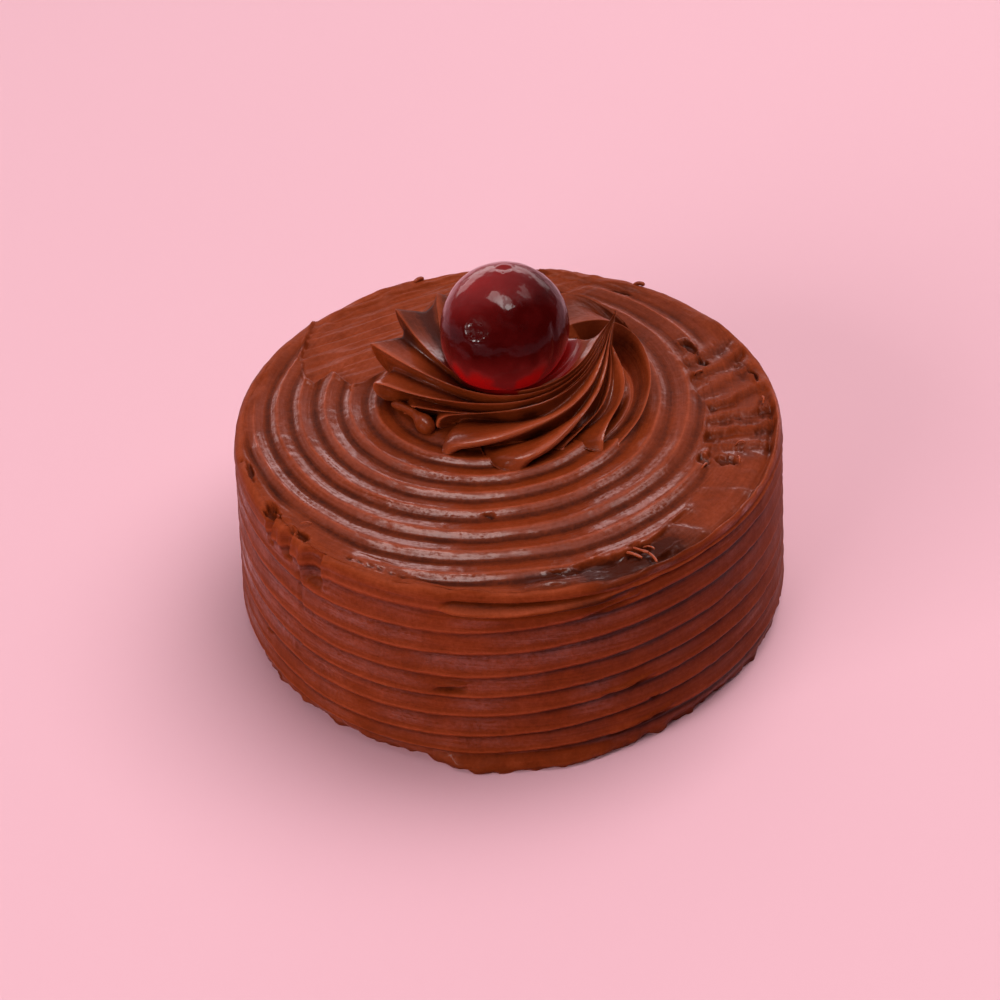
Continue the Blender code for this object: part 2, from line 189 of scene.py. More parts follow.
def wire(tree):
    # the helpers below for one tree: fill sets or joins inputs, the others make a node
    def fill(node, values):
        for key, value in values.items():
            if isinstance(value, bpy.types.NodeSocket):
                tree.links.new(value, node.inputs[key])
            else:
                node.inputs[key].default_value = value
        return node

    def add(kind, values=None, **settings):
        node = tree.nodes.new(kind)
        for key, value in settings.items():
            setattr(node, key, value)
        return fill(node, values or {})

    def maths(operation, *values, clamp=False):
        return add("ShaderNodeMath", dict(enumerate(values)), operation=operation, use_clamp=clamp).outputs[0]

    def weigh(first, share, second, other):
        # first times share plus second times other
        return maths("ADD", maths("MULTIPLY", first, share), maths("MULTIPLY", second, other))

    def vary(source, strength):
        # (source - 0.5) times strength
        return maths("MULTIPLY", maths("SUBTRACT", source, 0.5), strength)

    def attribute(label):
        return add("ShaderNodeAttribute", attribute_name=label).outputs["Fac"]

    def cloud(scale, detail=2, roughness=0.5, vector=None):
        # noise on object coordinates, or on the given vector
        if vector is None:
            vector = add("ShaderNodeTexCoord").outputs["Object"]
        values = {"Vector": vector, "Scale": scale, "Detail": detail, "Roughness": roughness}
        return add("ShaderNodeTexNoise", values).outputs["Fac"]

    def mix(share, first, second):
        return add("ShaderNodeMix", {0: share, 6: first, 7: second}, data_type="RGBA").outputs[2]

    return SimpleNamespace(
        fill=fill, add=add, maths=maths, weigh=weigh, vary=vary, attribute=attribute, cloud=cloud, mix=mix)


def newGroup(name, inputs, outputs, outputKind="NodeSocketFloat"):
    # a node group with named sockets; a default of several numbers makes a colour socket
    group = bpy.data.node_groups.new(name, "ShaderNodeTree")
    for label, value in inputs.items():
        kind = "NodeSocketColor" if isinstance(value, tuple) else "NodeSocketFloat"
        group.interface.new_socket(name=label, in_out="INPUT", socket_type=kind).default_value = value
    for label in outputs:
        group.interface.new_socket(name=label, in_out="OUTPUT", socket_type=outputKind)
    nodes = wire(group)
    return group, nodes, nodes.add("NodeGroupInput").outputs, nodes.add("NodeGroupOutput")


def newMaterial(name):
    # a material with its shader and the short forms for its tree
    material = bpy.data.materials.new(name)
    material.use_nodes = True
    return material, material.node_tree.nodes["Principled BSDF"], wire(material.node_tree)


def grainGroup():
    # fine relief: noise at two sizes, streaks (noise squeezed along the way of the comb) and specks;
    # the mask is for blotches of tone, the spark for single grains
    inputs = dict(Size=900, Streak=0.6, Lane=0)
    group, nodes, given, result = newGroup("fineGrain", inputs, ("Height", "Mask", "Spark"))
    maths, weigh = nodes.maths, nodes.weigh
    fine = nodes.cloud(given["Size"], 3)
    broad = nodes.cloud(210)
    speck = nodes.cloud(1500, 2, 0.7)
    split = nodes.add("ShaderNodeSeparateXYZ", {0: nodes.add("ShaderNodeTexCoord").outputs["Object"]}).outputs
    lanes = nodes.add("ShaderNodeCombineXYZ", {
        "X": maths("MULTIPLY", split["X"], 60),
        "Y": maths("MULTIPLY", split["Y"], 60),
        "Z": maths("MULTIPLY", given["Lane"], 2.6),
    })
    streak = nodes.cloud(1, 3, 0.6, lanes.outputs[0])
    relief = maths("ADD", weigh(fine, 0.35, broad, 0.4), nodes.vary(streak, given["Streak"]))
    grains = maths("SUBTRACT", weigh(speck, 0.6, streak, 0.6), 0.6)
    nodes.fill(result, {
        "Height": maths("ADD", relief, maths("MULTIPLY", speck, 0.55)),
        "Mask": weigh(broad, 0.6, fine, 0.4),
        "Spark": maths("MULTIPLY_ADD", grains, 3.2, 0.5, clamp=True),
    })
    return group


def blendGroup():
    # three colours in a row picked by one number: 0 the deep one, 0.5 the plain one, 1 the light one
    inputs = dict(Tone=0.5, Deep=(0, 0, 0, 1), Plain=(0.5, 0.5, 0.5, 1), Light=(1, 1, 1, 1))
    group, nodes, given, result = newGroup("threeTones", inputs, ("Color",), "NodeSocketColor")
    lower = nodes.maths("MULTIPLY", given["Tone"], 2, clamp=True)
    upper = nodes.maths("MULTIPLY_ADD", given["Tone"], 2, -1, clamp=True)
    darker = nodes.mix(lower, given["Deep"], given["Plain"])
    nodes.fill(result, {"Color": nodes.mix(upper, darker, given["Light"])})
    return group


grain = grainGroup()
threeTones = blendGroup()


def toned(nodes, look, tone):
    # the colour that the shared group picks from the deep, plain and light one of a look
    values = {"Tone": tone, "Deep": look["deep"], "Plain": look["plain"], "Light": look["light"]}
    return nodes.add("ShaderNodeGroup", values, node_tree=threeTones).outputs["Color"]


def bumped(nodes, look, height):
    # the normal tilted by the slope of a height
    values = {"Strength": look["bump"], "Distance": look["bumpDepth"], "Height": height}
    return nodes.add("ShaderNodeBump", values).outputs["Normal"]


frostingLook = dict(
    deep=(0.042, 0.0052, 0.0007, 1), plain=(0.160, 0.0225, 0.0040, 1), light=(0.300, 0.0520, 0.0170, 1),
    syrup=(0.150, 0.0020, 0.0016, 1), mottle=0.55, freckle=0.18, spark=2.2, roughDull=0.55, roughGlossy=0.36,
    syrupSmooths=0.75, coatRoughness=0.17, specular=0.08, bump=0.5, bumpDepth=0.00016,
)


def frostingMaterial(name, streak, toneShift=0, syrupy=False):
    # chocolate frosting: tone, gloss and comb lane come from the mesh, grain from the shared group; the tone
    # holds painted highlight and painted shade. Where syrup has run on it, it is red and wet
    look = frostingLook
    material, shader, nodes = newMaterial(name)
    maths = nodes.maths
    tone, gloss, lane = [nodes.attribute(label) for label in ("tone", "gloss", "lane")]
    relief = nodes.add("ShaderNodeGroup", {"Streak": streak, "Lane": lane}, node_tree=grain).outputs
    mottled = maths("ADD", tone, nodes.vary(relief["Mask"], look["mottle"]))
    freckle = maths("ADD", nodes.vary(relief["Spark"], look["freckle"]), 0.5 + toneShift)
    skin = toned(nodes, look, maths("ADD", mottled, freckle, clamp=True))
    glint = maths("MULTIPLY", gloss, nodes.vary(relief["Spark"], look["spark"]))
    coat = maths("ADD", gloss, glint, clamp=True)
    rough = maths("MULTIPLY_ADD", coat, look["roughGlossy"] - look["roughDull"], look["roughDull"])
    if syrupy:
        syrup = nodes.attribute("syrup")
        skin = nodes.mix(syrup, skin, look["syrup"])
        rough = maths("MULTIPLY", rough, maths("MULTIPLY_ADD", syrup, -look["syrupSmooths"], 1))
        coat = maths("MAXIMUM", coat, syrup)
    nodes.fill(shader, {
        "Base Color": skin,
        "Roughness": rough,
        "Coat Weight": coat,
        "Coat Roughness": look["coatRoughness"],
        "Specular IOR Level": look["specular"],
        "Normal": bumped(nodes, look, relief["Height"]),
    })
    return material


# camera and light

view = dict(elevation=39.1, distance=0.5222, roll=2.3, target=(-0.00197, 0, 0.01945), lens=100)


def makeCamera():
    # looks at the target from the front at the given elevation, rolled about its own axis
    tilt = math.radians(view["elevation"])
    roll = math.radians(view["roll"])
    back = Vector((0, -math.cos(tilt), math.sin(tilt)))
    side = Vector((1, 0, 0))
    up = Vector((0, math.sin(tilt), math.cos(tilt)))
    right = math.cos(roll) * side - math.sin(roll) * up
    over = math.sin(roll) * side + math.cos(roll) * up
    turn = Matrix(((right.x, over.x, back.x), (right.y, over.y, back.y), (right.z, over.z, back.z))).to_4x4()
    turn.translation = Vector(view["target"]) + back * view["distance"]
    data = bpy.data.cameras.new("camera")
    data.lens = view["lens"]
    data.sensor_width = 36
    camera = bpy.data.objects.new("camera", data)
    camera.matrix_world = turn
    scene.collection.objects.link(camera)
    scene.camera = camera


# name, place, size across and up, watts, colour, whether it lights surfaces, whether it shows in reflections
lamps = (
    ("overheadStrip", (-0.10, -0.10, 1.05), (0.90, 0.30), 3.6, (1, 0.98, 0.97), False, True),
    ("highRight", (0.38, 0.28, 1.08), (1.00, 1.00), 14.6, (1, 0.96, 0.93), True, False),
    ("leftFill", (-0.76, -0.72, 0.44), (0.80, 0.60), 10.6, (1, 0.95, 0.93), True, False),
    ("rightSheen", (0.62, 0.40, 1.05), (0.40, 0.40), 1.1, (1, 0.93, 0.93), False, True),
    ("leftGleam", (-0.79, -0.55, 0.30), (0.07, 0.07), 0.22, (1, 1, 1), False, True),
    ("lowBack", (-0.05, 1.17, 0.36), (2.30, 0.46), 6.6, (1, 0.84, 0.86), False, True),
)


def makeLight():
    # soft boxes that face the cake, and a surround that is dim in front and pale pink low behind
    for name, spot, size, watts, colour, lights, shows in lamps:
        data = bpy.data.lights.new(name, "AREA")
        data.shape = "RECTANGLE"
        data.size, data.size_y = size
        data.energy = watts
        data.color = colour
        lamp = bpy.data.objects.new(name, data)
        lamp.location = spot
        lamp.rotation_euler = (Vector((0, 0, 0.03)) - Vector(spot)).to_track_quat("-Z", "Y").to_euler()
        lamp.visible_diffuse = lights
        lamp.visible_glossy = shows
        scene.collection.objects.link(lamp)
    world = bpy.data.worlds.new("surround")
    world.use_nodes = True
    nodes = wire(world.node_tree)
    way = nodes.add("ShaderNodeTexCoord").outputs["Generated"]
    way = nodes.add("ShaderNodeSeparateXYZ", {0: way}).outputs
    reach = {"Value": nodes.weigh(way["Y"], 0.75, way["Z"], 0.66), "From Min": 0.30, "From Max": 0.70}
    behind = nodes.add("ShaderNodeMapRange", reach, interpolation_type="SMOOTHSTEP").outputs[0]
    strength = nodes.maths("MULTIPLY_ADD", behind, 0.36, 0.05)
    nodes.fill(world.node_tree.nodes["Background"], {"Color": (1, 0.74, 0.80, 1), "Strength": strength})
    scene.world = world
    scene.view_settings.view_transform = "Standard"


def makeFloor():
    # one large pale square with a faint cloudiness in its colour
    half = 1.6
    mesh = bpy.data.meshes.new("floor")
    corners = [(-half, -half, 0), (half, -half, 0), (half, half, 0), (-half, half, 0)]
    mesh.from_pydata(corners, [], [(0, 1, 2, 3)])
    material, shader, nodes = newMaterial("paleFloor")
    tint = nodes.mix(nodes.cloud(3), (0.70, 0.395, 0.470, 1), (0.74, 0.420, 0.500, 1))
    nodes.fill(shader, {"Base Color": tint, "Roughness": 0.6})
    mesh.materials.append(material)
    floor = bpy.data.objects.new("floor", mesh)
    scene.collection.objects.link(floor)


makeCamera()
makeLight()
makeFloor()
print("camera, light and floor are set")


# the combed top

cake = dict(baseRadius=51.9, topRadius=50.4, rim=38.4, dome=2, columns=512)

rings = dict(
    start=19.1, pitch=4.76, depth=0.86, rise=0.38, rounding=0.10, inner=15.5, lastFull=4,
    offset=7.6, offsetAngle=-139.5, loss=0.384, lossStart=34, lossSpan=16,
    wander=0.30, unevenDepth=0.22, rimInside=48.6,
)

# the scraped patch at the rear left: distance from the middle, and the angle of its ragged edge there
scrape = dict(
    edge=(
        (26, -128), (30.5, -111), (32.5, -113), (36.5, -116), (38, -110), (40, -111), (44.5, -120),
        (51, -136),
    ),
    far=-205, sink=0.55, lip=0.55, strokeDepth=0.5, strokeTurn=24,
)

# the rough patch at the right: strokes that run outwards and lean towards the rear
rough = dict(start=73, end=120, inner=36, strokes=7, depth=1.15, sink=0.25, lean=0.55)

# the smooth spread at the right front: its inner edge by angle, and the thin lip along the rim
spread = dict(
    start=12, end=74, inner=((12, 46), (29, 43.9), (66, 38.4), (80, 37)),
    sink=0.55, ridgePitch=5, lip=1.15, lipEnd=96, valley=0.55,
)

# torn holes in the top: angle, distance from the middle, length around, width across, depth
holes = (
    (120, 40.5, 1.9, 0.9, 0.9),
    (113.8, 40.2, 1.5, 1, 0.9),
    (103.4, 47.6, 3.4, 0.7, 1.1),
    (66.4, 37.9, 1.4, 0.9, 1.1),
    (70, 41.5, 0.8, 2.2, 0.9),
    (29.1, 44.4, 1.8, 0.9, 1.5),
    (20, 44.2, 7.5, 1, 1),
    (33, 47.2, 2.4, 0.7, 0.8),
    (-60, 48.7, 2.6, 1.2, 1.9),
    (-51, 48.4, 2.2, 0.8, 1),
    (-8.6, 28.7, 0.7, 0.5, 0.6),
    (-75, 48.6, 3.6, 0.7, 0.9),
    (172, 47.2, 3.2, 0.8, 0.8),
    (150, 45.8, 2, 0.8, 0.7),
)
# small pits in the glossy strip inside the front left rim: first and last angle, radius, count
pits = dict(first=-37, last=-24, radius=47.2, count=6)

# smooth smears at the front right and left: where each starts, is full, fades and ends, by angle and by
# radius, then its height and its gloss
smearPlaces = (
    ((1, 6, 15, 22), (44.9, 45.6, 46.8, 48), 0.45, 0.9),
    ((-38, -35, -29, -25), (44.6, 45.4, 47.2, 48.6), 0.2, 0.8),
)


def domeHeight(radius):
    # rim height plus the dome's rise times 1 - (r / R)^2
    return cake["rim"] + cake["dome"] * (1 - np.clip(radius / cake["topRadius"], 0, 1) ** 2)


def ringCentre(ring):
    # the middle of a ring: moved towards the rear left, less for the outer rings
    loss = rings["loss"] * np.clip((ring - rings["lossStart"]) / rings["lossSpan"], 0, 1)
    return (rings["offset"] * (1 - loss))[..., None] * around(rings["offsetAngle"])


def ringThrough(x, y):
    # which ring passes through a point, closed in on by measuring again from that ring's middle
    ring = np.hypot(x, y)
    for _ in range(7):
        centre = ringCentre(ring)
        ring = np.hypot(x - centre[..., 0], y - centre[..., 1])
    return ring


def combCut(phase, rise, bow=1):
    # 0 on a crest and 1 in the groove: a gentle bowed slope, then a steep rise to the next crest
    inward = phase % 1
    return np.minimum((inward / (1 - rise)) ** bow, (1 - inward) / rise)


def roundedCut(phase, rise, bow, rounding):
    # the comb profile averaged over a short stretch, so that crest and groove are rounded
    shifts = rounding * np.array([-1, -0.5, 0, 0.5, 1])
    return sum(combCut(phase + shift, rise, bow) for shift in shifts) / len(shifts)


def topSurface(x, y):
    # height, gloss, tone and lane over the top: dome, rings, scraped patches, holes, rim and roughness;
    # the tone holds painted highlight on crests and the lip and painted shade in grooves, strokes, holes and
    # the valley
    radius = np.hypot(x, y)
    angle = np.degrees(np.arctan2(x, -y))
    spot = stack3(x, y, 0)
    ring = ringThrough(x, y) + rings["wander"] * noise(spot, 13, 3) + 0.07 * noise(spot, 3.5, 5)
    phase = (rings["start"] - ring) / rings["pitch"]
    cut = roundedCut(phase, rings["rise"], 1, rings["rounding"])
    inward = phase % 1
    uneven = 1 + rings["unevenDepth"] * noise(spot, 9, 8)
    crest = bell(np.minimum(inward, 1 - inward), 0, 0.07)
    thread = bell(np.minimum(inward, 1 - inward), 0, 0.035) * np.clip(0.45 + noise(spot, 2.2, 13), 0, 1)
    cut -= 0.10 * thread
    slope = smooth(0.62, 0.50, np.abs((inward + 0.42) % 1 - 0.5) * 2 - 0.1)

    # masks of the damaged places
    edgeRadius, edgeAngle = np.array(scrape["edge"]).T
    lag = turnFrom(np.interp(radius, edgeRadius, edgeAngle), angle)
    into = lag * radius * math.pi / 180 + 0.5 * noise(spot, 2.5, 21)
    rear = arcFrom(angle, scrape["far"], radius)
    scraped = smooth(-0.1, 0.6, into) * smooth(-3, 9, rear) * smooth(25, 27.5, radius)
    scraped = np.where(lag > -150, scraped, 0)
    ragged = 1.1 * noise(spot, 4, 25) + 0.6 * noise(spot, 1.8, 26)
    start, end = rough["start"], rough["end"]
    roughed = smooth(-0.3, 0.7, radius - rough["inner"] + ragged) * smooth(start - 3, start + 4, angle)
    roughed *= smooth(end + 5, end - 6, angle) * smooth(49.6, 48.2, radius + 0.5 * ragged)
    spreadAngle, spreadRadius = np.array(spread["inner"]).T
    inSpread = radius - np.interp(angle, spreadAngle, spreadRadius) + 0.4 * ragged
    first, last, lipEnd = spread["start"], spread["end"], spread["lipEnd"]
    spreadOut = smooth(-0.3, 0.6, inSpread) * between(angle, first, first + 8, last - 3, last + 3)
    lipped = between(angle, first + 6, first + 22, lipEnd - 10, lipEnd + 6)
    outer = smooth(46.3, 48.2, radius + 0.9 * noise(spot, 6, 31)) * (1 - lipped)
    frontRim = between(angle, -66, -56, -42, -30) * smooth(43.5, 45.5, radius)
    bare = np.clip(1 - scraped - roughed - spreadOut - outer - 0.8 * frontRim, 0, 1)

    # the dome with its rings
    height = domeHeight(radius) - rings["depth"] * (bare * cut * uneven + (1 - bare) * 0.55)
    height += 0.10 * fractal(spot, 5, 41) + 0.03 * noise(spot, 1.1, 45)

    # oblique strokes in the scraped patch
    turn = math.radians(scrape["strokeTurn"])
    along = x * math.cos(turn) + y * math.sin(turn)
    across = y * math.cos(turn) - x * math.sin(turn)
    combing = stack3(across, along, 0)
    scored = noise(combing, (1.5, 13, 1), 51) + 0.5 * noise(combing, (0.7, 8, 1), 53)
    height -= scraped * (scrape["sink"] + scrape["strokeDepth"] * scored)
    bank = bell(into, -0.5, 0.55) * smooth(25, 29, radius) * smooth(-160, -150, lag)
    height += scrape["lip"] * bank * (0.7 + 0.6 * noise(spot, 2, 57))

    # outward strokes in the rough patch, each with a steep wall towards the front and a torn edge
    lean = rough["lean"] * (radius - rough["inner"])
    lanes = (angle - start - lean) / (end - start) * rough["strokes"]
    lanes = lanes + 0.16 * noise(spot, 5, 61) + 0.10 * noise(spot, 1.6, 62)
    stroke = roundedCut(lanes, 0.26, 0.8, 0.05)
    size = 0.65 + 0.6 * noise(stack3(np.floor(lanes) * 3.7, radius / 6, 0), 1, 64)
    thin = noise(stack3(lanes * 5, radius / 9, 0), 1, 63)
    torn = smooth(0.10, 0.30, fractal(spot, 3.4, 66))
    height -= roughed * (rough["sink"] + rough["depth"] * size * (stroke - 0.45) + 0.12 * thin + 0.30 * torn)
    brink = bell(radius - rough["inner"] + ragged, 0, 0.5) * between(angle, start, start + 8, end - 8, end)
    height += 0.45 * brink * (0.5 + noise(spot, 2.6, 67))

    # the smooth spread inside the lip: a few shallow ridges across it, wrinkled at its front end
    ripple = (y / spread["ridgePitch"] + 0.22 * noise(spot, 4, 73) + 0.05 * noise(spot, 1.2, 74)) % 1
    ridges = bell(ripple, 0.5, 0.20) * np.clip(0.2 + noise(spot, (6, 4, 1), 68), 0, 1)
    wrinkled = smooth(40, 26, angle) * fractal(stack3(x * 0.5 + y * 0.8, y * 2 - x * 0.8, 0), 3.2, 69)
    height -= spreadOut * (spread["sink"] - 0.55 * ridges + 0.45 * wrinkled + 0.10 * noise(spot, 4, 70))
    valley = bell(radius, 48.5, 0.9) * lipped
    height -= spread["valley"] * valley
    lip = spread["lip"] + 0.25 * noise(stack3(angle * 0.85, 0, 0), 5, 72)
    height += lipped * smooth(48.6, 49.6, radius) * lip

    # smooth smears inside the rim, above hollows
    smears = [between(angle, *ends) * between(radius, *edges) for ends, edges, _, _ in smearPlaces]
    height += sum(high * smear for (_, _, high, _), smear in zip(smearPlaces, smears))

    # the rim: an uneven raised band with lumps
    lumps = fractal(stack3(angle * 0.85, radius, 0), (7, 3, 1), 71)
    height += outer * (0.55 + 0.55 * lumps)

    # torn holes: ragged outline, steep walls, and a brink raised on one side only
    pitted = 0
    tear = 0.9 * noise(spot, 1.5, 81) + 0.55 * noise(spot, 0.6, 82)
    for index, (holeAngle, holeRadius, long, wide, depth) in enumerate(holes):
        u = arcFrom(angle, holeAngle, holeRadius) + 0.6 * noise(spot, 1.9, 83)
        v = radius - holeRadius + 0.5 * noise(spot, 1.7, 84) + 0.10 * u
        q = np.hypot(u / long, v / wide) + tear * 0.5
        inside = smooth(1.15, 0.55, q)
        brinkSide = np.clip(0.2 + np.cos(np.arctan2(v, u) - 1.7 * index), 0, 1.2)
        height += depth * (0.30 * bell(q, 1.30, 0.22) * brinkSide - inside)
        pitted += inside
    pitStep = (pits["last"] - pits["first"]) / (pits["count"] - 1)
    pitPhase = (turnFrom(angle, pits["first"]) / pitStep + 0.5) % 1 - 0.5
    inRow = between(angle, pits["first"] - 1.2, pits["first"] - 0.8, pits["last"] + 0.8, pits["last"] + 1.2)
    pit = inRow * smooth(1.2, 0.5, np.hypot(pitPhase * 2.9, (radius - pits["radius"]) / 0.42) + 0.4 * tear)
    height -= 0.40 * pit
    pitted += 0.7 * pit

    # under the swirl the comb marks fade
    hidden = smooth(21, 18.5, np.hypot(x - swirl["centre"][0], y - swirl["centre"][1]))
    height = height * (1 - hidden) + (domeHeight(radius) - 0.9) * hidden

    facing = 0.25 + 0.75 * between(angle, -120, -70, 30, 68)
    glossy = bare * slope * facing * (0.85 + 0.25 * noise(spot, 7, 91))
    glossy += sum(wet * smear for (_, _, _, wet), smear in zip(smearPlaces, smears))
    glossy += roughed * (0.08 + 0.3 * thin) + scraped * 0.08
    glossy += spreadOut * (0.06 + 1.1 * ridges + 0.6 * smooth(0.15, 0.40, wrinkled))
    # painted highlight: the crests and the thin threads on them are lighter; painted shade: the bottom of
    # each groove is darker
    tone = bare * (0.20 * crest + 0.16 * thread - 0.24 * bell(inward, 1 - rings["rise"], 0.14))
    # painted shade: the stroke floors and torn places of the rough patch are darker
    tone += 0.10 * scraped + roughed * (0.10 - 0.34 * stroke - 0.15 * torn) + 0.06 * outer
    # painted shade: the holes and pits are darker; the front of the smooth spread is darker too
    tone = tone - 0.40 * np.clip(pitted, 0, 1) - 0.38 * spreadOut * smooth(50, 34, angle)
    # a band inside the rim at the front right is darker; painted shade: the front rings are darker partway
    # down each slope
    darkened = between(angle, -2, 5, 34, 42) * between(radius, 43.4, 44.6, 48, 49.2)
    tone = tone - 0.30 * darkened - 0.20 * bare * facing * between(inward, 0.25, 0.55, 0.65, 0.85)
    # painted highlight on the edge of the thin lip, painted shade in the valley inside it
    tone += 0.22 * lipped * smooth(49, 49.7, radius) - 0.10 * valley
    tone += 0.05 * fractal(spot, 8, 95)
    return height, np.clip(glossy, 0, 1), tone, ring


def cakeTop():
    # rows follow the rings from the rosette outwards to the last full ring, then blend to the rim circle
    count = cake["columns"]
    angle = np.arange(count) * 360 / count
    direction = around(angle)
    lastRing = rings["start"] + rings["pitch"] * rings["lastFull"]
    ringRows = np.linspace(lastRing, rings["inner"], 106)
    plans = [ringCentre(np.full(count, ring)) + ring * direction for ring in ringRows]
    rimPlan = rings["rimInside"] * direction
    share = np.linspace(0, 1, 82)[:-1, None, None]
    band = rimPlan * (1 - share) + plans[0] * share
    plan = np.concatenate([band, np.stack(plans)])
    height, gloss, tone, lane = topSurface(plan[..., 0], plan[..., 1])
    skin = np.concatenate([plan, height[..., None]], axis=-1)
    under = []
    for inset, drop in ((30, 5), (3, 5), (0.6, 2.2)):
        ringUnder = (rings["rimInside"] - inset) * direction
        under.append(np.column_stack([ringUnder, skin[0, :, 2] - drop]))
    grid = np.concatenate([np.stack(under), skin])
    middle = ringCentre(np.array([0]))[0]
    bottom, end = (0, 0, cake["rim"] - 5), (middle[0], middle[1], cake["rim"] + 1)
    mesh = closedGrid("combedTop", grid, bottom, end, sharpRows=(3,))
    repeat = lambda a: np.concatenate([np.repeat(a[:1], 3, axis=0), a])
    paint(mesh, gloss=repeat(gloss), tone=repeat(tone), lane=repeat(lane))
    return mesh


# the combed side

side = dict(
    crests=(4.2, 8.3, 13, 17.3, 22, 27.2, 32, 35.9), depth=0.50, extra=0.42, deepAngle=38, undercut=0.2,
    wave=((1, 0.55, 12), (2, 0.85, -8), (3, 0.75, -4)), wander=0.16, shoulder=1.3, rows=154, shoulderRows=14,
)

# how far the foot stands out or in around the cake, by angle
footLine = (
    (-180, 0.3), (-120, -0.4), (-70, -1), (-50, -0.7), (-20, -0.7), (-12, 1.7), (-3, 1.9), (12, 1.2),
    (24, -0.3), (34, -1), (46, -1.8), (60, -0.8), (90, -0.3), (140, 0.4), (180, 0.3),
)

# slits torn in the side: first and last angle, height, half opening, slant, depth
slits = (
    (-17.5, -9.5, 17.3, 0.62, 0.6, 1.1),
    (16, 29, 14.2, 0.42, 0.5, 1.2),
    (17, 33.5, 4.9, 0.42, 0.9, 1.2),
    (-31, -24, 15, 0.25, 0.2, 0.5),
    (27, 29.5, 9.7, 0.35, 0, 0.8),
    (13, 26, 33.2, 0.45, 0.8, 1),
    (-64, -60, 10.5, 0.3, 0.2, 0.6),
)

# the curled lip at the front: where it starts, is full, fades and ends, its height and how far it stands
# out, the slot in it, and the thin lip that goes on to the right
curl = dict(
    reach=(-17, -11, 15, 24), at=35.5, out=1.3,
    slotReach=(-15, -12, 12, 25), slotAt=36.55, slotDepth=1.5, thinReach=(18, 26, 66, 82),
)

# upright gouges near the rim: angle, half width in mm, lowest and highest point, depth
gouges = (
    (-58.5, 0.8, 33, 40, 1.2),
    (-52.5, 1.5, 33.2, 40, 1.2),
    (-44.5, 2.1, 31.4, 40, 1.5),
    (-48.6, 0.35, 23.5, 32.5, 0.35),
)


def sideWave(angle):
    # sum of sines: size times sin(turns times (angle + shift))
    total = 0
    for turns, size, shift in side["wave"]:
        total += size * np.sin(np.radians(turns * (angle + shift)))
    return total


def sidePhase(level):
    # the number of the combed line that a level lies on, counted up from the foot
    edges = np.array((0,) + side["crests"] + (40.6,))
    return np.interp(level, edges, np.arange(len(edges)))


